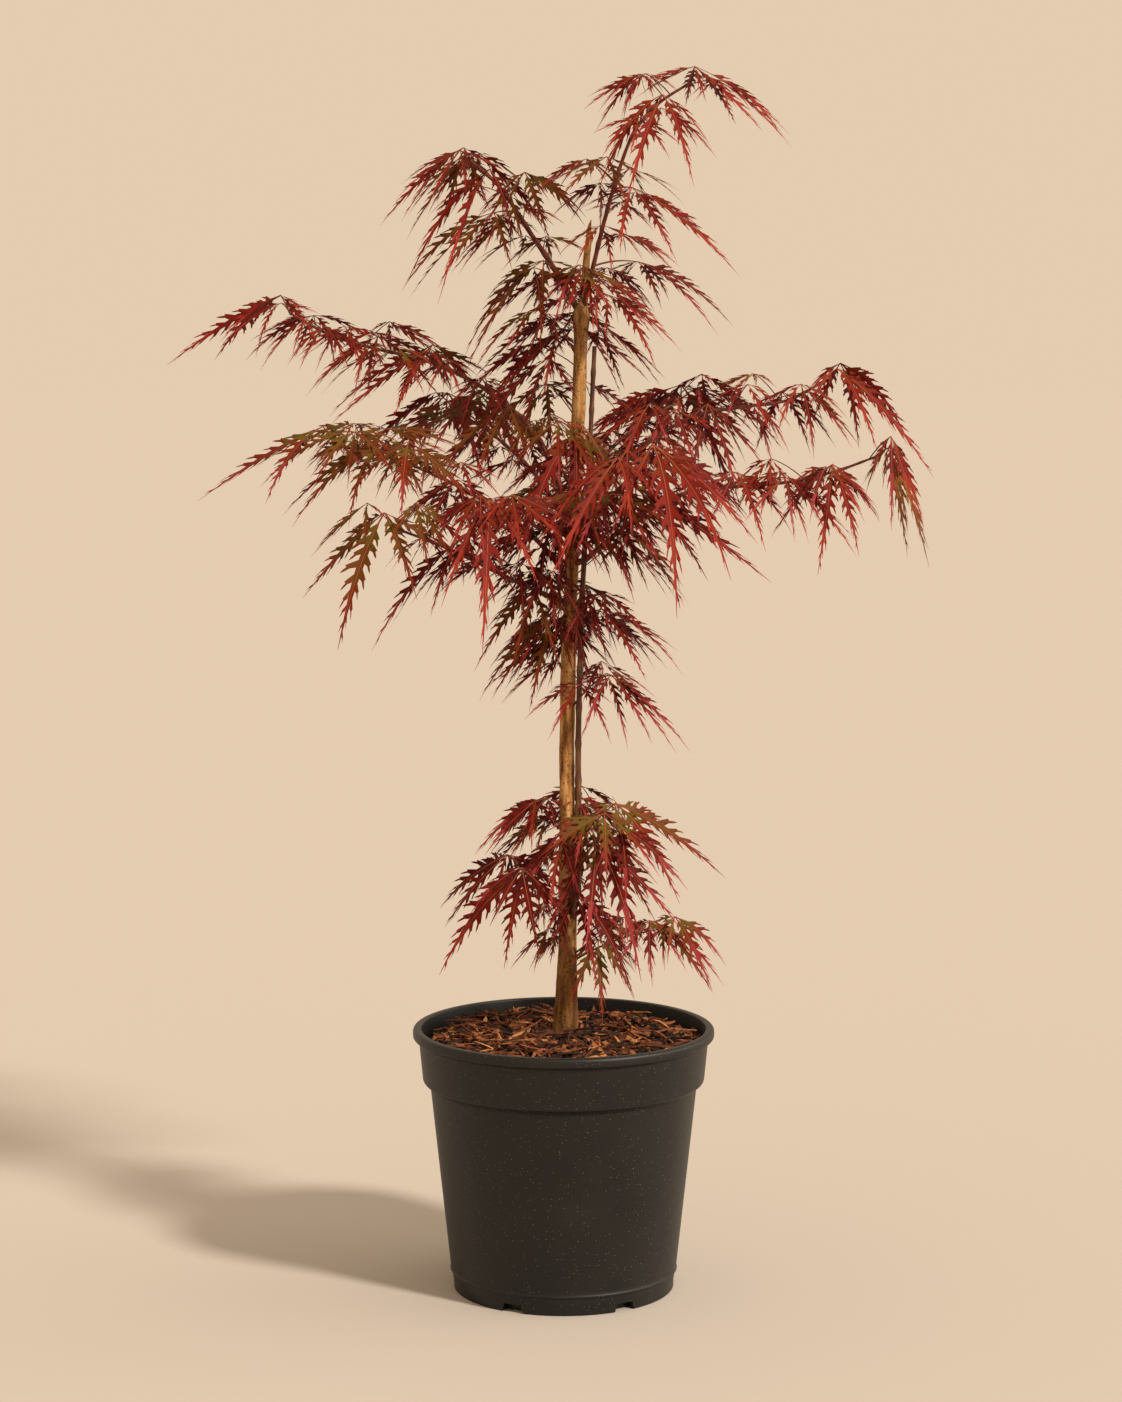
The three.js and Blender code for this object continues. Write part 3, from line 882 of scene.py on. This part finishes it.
rng = random.Random(5)
FEWEST_LOBES, MOST_LOBES = 3, 6
LOBE_SPACING = 17 * MM
PATTERNS_EACH = 3
PATTERNS = {lobes: [finger_pattern(rng, lobes) for _ in range(PATTERNS_EACH)]
            for lobes in range(FEWEST_LOBES, MOST_LOBES + 1)}
print("the fullest finger has", len(PATTERNS[MOST_LOBES][0][1]), "triangles")

# %% Hands of fingers
UP = np.array([0, 0, 1.0])
FINGER_TURNS = {5: (-112, -52, 0, 52, 112), 7: (-138, -86, -42, 0, 42, 86, 138)}
REAR_REACH = 0.34
LOWEST_LEAF = 0.262     # just over the pot's rim
LEAF_MARGIN = 6 * MM
LEAF_LOW = np.array([CAD_BOX[0][0] - LEAF_MARGIN, CAD_BOX[0][1] - LEAF_MARGIN, LOWEST_LEAF])
LEAF_HIGH = np.array(CAD_BOX[1]) + LEAF_MARGIN


def unit(vector):
    return vector / norm(vector)


def mesh_of_triangles(name, points, triangles, kinds, materials):
    """One object from arrays of points, triangles and material numbers."""
    mesh = bpy.data.meshes.new(name)
    mesh.vertices.add(len(points))
    mesh.vertices.foreach_set("co", points.ravel())
    mesh.loops.add(triangles.size)
    mesh.loops.foreach_set("vertex_index", triangles.ravel())
    mesh.polygons.add(len(triangles))
    mesh.polygons.foreach_set("loop_start", np.arange(0, triangles.size, 3))
    mesh.update(calc_edges=True)
    return add_piece(name, mesh, kinds, materials)


class Foliage:
    """Collects fingers into one joined mesh."""

    def __init__(self, rng, breadth):
        self.rng, self.breadth = rng, breadth
        self.points, self.triangles, self.kinds, self.count = [], [], [], 0

    def add_finger(self, line, face, width, tints):
        """Bends a finger along a curve of three points, its upper side turned to face."""
        start, elbow, tip = line
        sides = norm(elbow - start) + norm(tip - elbow) + norm(tip - start)
        length = sides / 2
        lobes = min(max(round(length / LOBE_SPACING), FEWEST_LOBES), MOST_LOBES)
        pattern, triangles, zones = self.rng.choice(PATTERNS[lobes])
        s = pattern[:, :1].clip(0, 1.02)
        place = (1 - s) ** 2 * start + 2 * s * (1 - s) * elbow + s ** 2 * tip
        along = 2 * (1 - s) * (elbow - start) + 2 * s * (tip - elbow)
        along /= norm(along, axis=1, keepdims=True)
        across = np.cross(face, along)
        across /= norm(across, axis=1, keepdims=True)
        lift = np.cross(along, across)
        self.points.append(place + (across * pattern[:, 1:2] * width + lift * pattern[:, 2:3]) * length)
        self.triangles.append(triangles + self.count)
        self.kinds.append(np.array(tints)[zones])
        self.count += len(pattern)

    def add_leaf(self, hub, heading, reach, drop, lean, scheme):
        """A hand of fingers round a hub: the longest ahead, and lower on the side it leans to."""
        rng = self.rng
        face = unit(UP * 0.7 + lean + np.array([rng.uniform(-0.25, 0.25) for _ in range(3)]))
        width = self.breadth * rng.uniform(0.85, 1.15)
        arch = rng.uniform(-0.02, 0.1)
        bank = rng.uniform(0.12, 0.4)
        sway = rng.uniform(-0.12, 0.12)
        for turn in FINGER_TURNS[rng.choice((5, 7, 7))]:
            turn = math.radians(turn + rng.uniform(-7, 7))
            share = REAR_REACH + (1 - REAR_REACH) * ((1 + math.cos(turn)) / 2) ** 0.9
            length = reach * share * rng.uniform(0.86, 1.08)
            bearing = heading + turn
            out = np.array([math.cos(bearing), math.sin(bearing), 0])
            side = np.array([-out[1], out[0], 0])
            hang = drop * share ** 1.3 * rng.uniform(0.65, 1.1) + length * bank * float(out @ lean)
            tip = hub + out * length - UP * hang + side * length * (sway + rng.uniform(-0.08, 0.08))
            tip = np.clip(tip, LEAF_LOW, LEAF_HIGH)
            elbow = hub + out * length * rng.uniform(0.46, 0.58)
            elbow = elbow + UP * (length * arch - hang * rng.uniform(0.2, 0.42))
            roll = side * rng.uniform(-0.3, 0.3)
            own = KIN[scheme] if rng.random() < KIN_SHARE else scheme
            self.add_finger((hub, elbow, tip), face + roll, width * (1.12 - 0.12 * share), SCHEMES[own])

    def piece(self, name, materials):
        return mesh_of_triangles(name, np.vstack(self.points), np.vstack(self.triangles),
                                 np.concatenate(self.kinds), materials)


# %% [markdown]
# ## Colours of the leaves
#
# Each spray has its own colours, as on the plant: crimson where young leaves catch the sun, wine and
# burgundy inside, bronze and olive on older ones, and a finger often turns from olive at its root to red
# at its tip. The near-black leaves deep in the crown and the darker side of each lobe are painted shade.
# These are plain colours dealt out to faces, so they stay where they are. A leaf is thin and matt, with a
# paler rib.

# %% Leaf materials
# The near-black dark colour is painted shade, for leaves deep in the crown and for the shaded side of
# lobes.
LEAF_COLOURS = {
    "dark": "#2c0904", "maroon": "#440d08", "burgundy": "#58110b", "redbrown": "#6a230c",
    "crimson": "#6f1a11", "scarlet": "#8a281b", "rose": "#862a2c", "bronze": "#5c3610",
    "olive": "#574611", "gold": "#7a5818", "rib": "#8a4630",
}
LEAF_NAMES = list(LEAF_COLOURS)
leaf_materials = [new_material(f"{name} maple leaf", colour, roughness=0.6, specular_ior_level=0.1)
                  for name, colour in LEAF_COLOURS.items()]
# Colours of the inner, middle and outer finger, then the painted shade on one side of each lobe.
ZONE_COLOURS = {
    "crimson": "redbrown crimson scarlet burgundy",
    "scarlet": "redbrown crimson scarlet burgundy",
    "wine": "burgundy burgundy rose maroon",
    "burgundy": "maroon burgundy burgundy dark",
    # The dark scheme is painted shade for sprays deep in the crown.
    "dark": "dark maroon maroon dark",
    "bronze": "bronze bronze redbrown burgundy",
    "olive": "olive bronze redbrown redbrown",
    "turning": "olive redbrown rose burgundy",
    "rose": "bronze burgundy rose burgundy",
    "gold": "gold gold bronze bronze",
}
SCHEMES = {name: [LEAF_NAMES.index(colour) for colour in f"{zones} rib".split()]
           for name, zones in ZONE_COLOURS.items()}
# Some fingers of a leaf take the colours of its kin.
KIN = {"scarlet": "crimson", "crimson": "wine", "wine": "crimson", "burgundy": "wine", "dark": "burgundy",
       "bronze": "olive", "olive": "turning", "turning": "bronze", "rose": "wine", "gold": "gold"}
KIN_SHARE = 0.4
STALK_STOPS = [(0.3, "#3c100c"), (0.6, "#631f17"), (0.8, "#80362a")]
stalk_material = bark_material("red leaf stalk", STALK_STOPS, 1, 5, 0.1, 0.5)
print(len(leaf_materials), "leaf colours make", len(SCHEMES), "schemes")

# %% Colours of each spray
# In each spray the main leaf's scheme comes first, then those of the leaves round it. The sprays of a
# bough are listed from its tip.
BOUGH_SPRAYS = {
    "top_left": ["wine crimson", "wine bronze crimson", "bronze turning", "bronze dark olive"],
    "top_right": ["crimson crimson", "scarlet crimson", "crimson wine", "crimson bronze",
                  "burgundy wine dark"],
    "left_high": ["crimson crimson", "crimson wine", "wine burgundy", "crimson turning",
                  "bronze burgundy olive"],
    "left_middle": ["turning bronze", "bronze turning", "burgundy wine"],
    "left_low": ["bronze olive", "crimson burgundy"],
    "left_front": ["scarlet crimson"],
    "right_front": ["crimson scarlet wine", "burgundy turning wine"],
    "right_middle": ["gold crimson", "wine crimson", "crimson wine"],
    "right_upper": ["scarlet scarlet crimson", "burgundy turning", "burgundy wine crimson"],
    "back_left": ["wine burgundy turning"],
    "back_right": ["burgundy crimson"],
}
TRUNK_SPRAYS = {
    "crown_left": "burgundy dark", "crown_back": "burgundy wine", "crown_front": "crimson turning bronze",
    "mid_left": "olive dark bronze", "mid_right": "wine burgundy", "mid_front": "rose wine",
    "mid_back": "burgundy dark", "low_left": "burgundy wine", "low_right": "turning olive wine",
    "low_front": "rose wine", "low_back": "burgundy bronze", "foot_left": "wine burgundy",
    "foot_right": "olive turning", "foot_outer": "turning olive rose", "foot_front": "wine rose",
}
SPRAY_SCHEMES = {name: names.split() for name, names in TRUNK_SPRAYS.items()}
for bough, sprays in BOUGH_SPRAYS.items():
    for k, names in enumerate(sprays, 1):
        SPRAY_SCHEMES[f"{bough}_{k}"] = names.split()
print(len(SPRAY_SCHEMES), "sprays have their colours")

# %% [markdown]
# ## Sprays
#
# Each pad of the frame becomes a spray: a shoot grows from the bough or the trunk to the pad's top, a main
# leaf fills the pad, and smaller leaves stand beside it on stalks of their own. More leaves follow the
# bough in pairs, as a maple bears them, and a few shaded ones grow on the trunk.

# %% Reading a pad of foliage
HUB_DROP = 6 * MM


def pad_shape(node):
    """Where a pad's fingers meet, which way it points, how far it reaches and how far it hangs."""
    points = corners(node)
    hub = points[points[:, 2].argmax()]
    flat = points[:, :2] - hub[:2]
    reach = norm(flat, axis=1)
    tip = points[reach.argmax()]
    heading = math.atan2(tip[1] - hub[1], tip[0] - hub[0])
    return hub - UP * HUB_DROP, heading, float(reach.max()), float(hub[2] - tip[2])


def line_of(name):
    """The centre line and radii of a limb, or of the trunk."""
    return limbs[name] if name in limbs else trunk


def nearest_on(name, place):
    """The number of the point of a limb's centre line that is closest to a place."""
    return int(norm(line_of(name)[0] - place, axis=1).argmin())


def arc(start, end, rise, steps=7):
    """Points from start to end on a curve that first climbs by rise."""
    middle = (start + end) / 2 + UP * rise
    t = np.linspace(0, 1, steps)[:, None]
    return (1 - t) ** 2 * start + 2 * t * (1 - t) * middle + t ** 2 * end


# %% Growing shoots and leaves
SHOOT = 1.1 * MM        # radii
STALK = 0.5 * MM
LEAN = 0.8
FRONT_HALF = 25 * MM    # leaves in front of this lean forward, those behind BACK_HALF lean back
BACK_HALF = 60 * MM


def outward_lean(hub, rng):
    """A sideways lean of a leaf: away from the trunk, and to the front or the back."""
    away = np.array([hub[0], hub[1], 0])
    side = 1 if hub[1] > BACK_HALF else -1 if hub[1] < FRONT_HALF else rng.choice((-1, -1, 1))
    return unit(unit(away + [0.001, 0, 0]) * 0.5 + np.array([0, side, 0])) * LEAN * rng.uniform(0.6, 1.25)


class Growth:
    """The leaves and stalks of one part of the plant."""

    def __init__(self, seed, breadth):
        self.rng = random.Random(seed)
        self.foliage = Foliage(self.rng, breadth)
        self.stalks = []

    def leaf_on_stalk(self, start, turn, length, reach, drop, scheme):
        """A leaf at the end of its own rising stalk."""
        rng = self.rng
        rise = rng.uniform(0.2, 1.0)
        hub = start + length * unit(np.array([math.cos(turn), math.sin(turn), rise]))
        stalk = arc(start, hub, length * 0.12, 5)
        self.stalks.append((stalk, np.linspace(STALK * 1.15, STALK * 0.85, len(stalk))))
        turn += rng.uniform(-0.3, 0.3)
        self.foliage.add_leaf(hub, turn, reach, drop, outward_lean(hub, rng), scheme)

    def spray(self, hub, heading, reach, drop, owner, leaves, schemes):
        """A main leaf at the hub, and leaves to both sides of the shoot that bears it."""
        rng = self.rng
        points, radii = line_of(owner)
        k = nearest_on(owner, hub - UP * (0.5 * reach if owner == "trunk" else 0.01))
        shoot = arc(points[k], hub, 0.12 * norm(hub - points[k]))
        self.stalks.append((shoot, np.linspace(min(SHOOT, radii[k] * 0.8), STALK, len(shoot))))
        self.foliage.add_leaf(hub, heading, reach, drop, outward_lean(hub, rng), schemes[0])
        for i in range(leaves):
            turn = heading + (1 if i % 2 else -1) * math.radians(rng.uniform(45, 95) + 45 * (i // 2))
            if owner == "trunk":
                start = shoot[rng.randint(2, len(shoot) - 1)]
            else:
                start = points[max(2, min(len(points) - 1, k + rng.randint(-5, 2)))]
            share = rng.uniform(0.55, 0.85)
            stalk = rng.uniform(22, 44) * MM
            hang = drop * share * rng.uniform(0.7, 1.15)
            self.leaf_on_stalk(start, turn, stalk, reach * share, hang, rng.choice(schemes[1:]))

    def finish(self, group, nodes):
        """Turns the leaves and stalks into pieces, and counts the leaves' triangles."""
        leaves = self.foliage.piece(f"leaves_{group}", leaf_materials)
        placed(leaves, "foliage", *nodes)
        stalks = tube_mesh(f"shoots_{group}", self.stalks, 1)
        dress(stalks, stalk_material)
        placed(stalks, "young_bark")
        return len(leaves.data.polygons)


# %% Groups of sprays
groups = {}
for node in sorted(n for n in NODES if n.startswith("foliage_")):
    name = node.removeprefix("foliage_")
    stem = name.rsplit("_", 1)[0]
    owner = f"bough_{stem}" if f"bough_{stem}" in limbs else "trunk"
    group = stem if owner != "trunk" else name.split("_")[0]
    groups.setdefault(group, []).append((node, owner))
print({group: len(members) for group, members in groups.items()})

# %% Grow every spray
USUAL_BREADTH = 0.82
BREADTH = {"foot": 1.12, "low": 1.05, "left_front": 1.0, "left_low": 0.9, "left_middle": 0.92,
           "top_right": 0.78, "top_left": 0.8, "left_high": 0.8}
EXTRA_LEAVES = {"foot": 3, "low": 2, "mid": 3, "crown": 1, "top_left": 1, "right_upper": 1,
                "left_middle": 1, "left_low": 1, "back_left": 1, "back_right": 1}
LONG_REACH = 95 * MM
# The foot of the trunk stays in sight.
SHORTENED = {"foliage_foot_front": 0.4, "foliage_foot_right": 0.8}
NODE_SPACING = 34 * MM
CLEAR_OF_SPRAY = 22 * MM
# Of these, dark is painted shade.
INNER_SCHEMES = ["bronze", "turning", "burgundy", "wine", "olive", "dark"]
INNER_HEIGHTS = range(630, 900, 16)     # in mm
FIRST_SEED = 100


def schemes_of(node):
    return SPRAY_SCHEMES[node.removeprefix("foliage_")]


def leaves_in_pairs(growth, owner, members, hubs):
    """Small leaves in pairs along a bough, wherever no spray is near."""
    rng = growth.rng
    points, _ = line_of(owner)
    run = run_along(points)
    ahead = points[-1] - points[0]
    along = math.atan2(ahead[1], ahead[0])
    for far in np.arange(NODE_SPACING, run[-1], NODE_SPACING):
        start = points[int(np.searchsorted(run, far))]
        if min(norm(start - hub) for hub in hubs) < CLEAR_OF_SPRAY:
            continue
        schemes = schemes_of(members[-1 if far < run[-1] * 0.5 else 0][0])
        for side in (-1, 1):
            reach = rng.uniform(42, 66) * MM
            turn = along + side * rng.uniform(0.8, 1.5)
            stalk = rng.uniform(20, 36) * MM
            drop = reach * rng.uniform(0.55, 0.95)
            growth.leaf_on_stalk(start, turn, stalk, reach, drop, rng.choice(schemes[1:]))


def leaves_on_trunk(growth):
    """Small shaded leaves on the trunk, one above the other."""
    rng = growth.rng
    for height in INNER_HEIGHTS:
        turn = rng.uniform(0, math.tau)
        reach = rng.uniform(55, 80) * MM
        stalk = rng.uniform(28, 60) * MM
        drop = reach * rng.uniform(0.6, 1.1)
        growth.leaf_on_stalk(trunk_axis(height * MM), turn, stalk, reach, drop, rng.choice(INNER_SCHEMES))


total = 0
for seed, (group, members) in enumerate(sorted(groups.items()), FIRST_SEED):
    growth = Growth(seed, BREADTH.get(group, USUAL_BREADTH))
    hubs = []
    for node, owner in members:
        hub, heading, reach, drop = pad_shape(node)
        shorter = SHORTENED.get(node, 1)
        reach, drop = reach * shorter, drop * shorter
        hubs.append(hub)
        leaves = 1 + int(reach > LONG_REACH) + EXTRA_LEAVES.get(group, 0)
        growth.spray(hub, heading, reach, drop, owner, leaves, schemes_of(node))
    if owner != "trunk":
        leaves_in_pairs(growth, owner, members, hubs)
    if group == "crown":
        leaves_on_trunk(growth)
    total += growth.finish(group, [node for node, _ in members])
print(len(groups), "groups of leaves with", total, "triangles")

# %% Sizes and the end
size = {"cad": [list(corner) for corner in CAD_BOX], "visual": [list(corner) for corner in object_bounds()]}
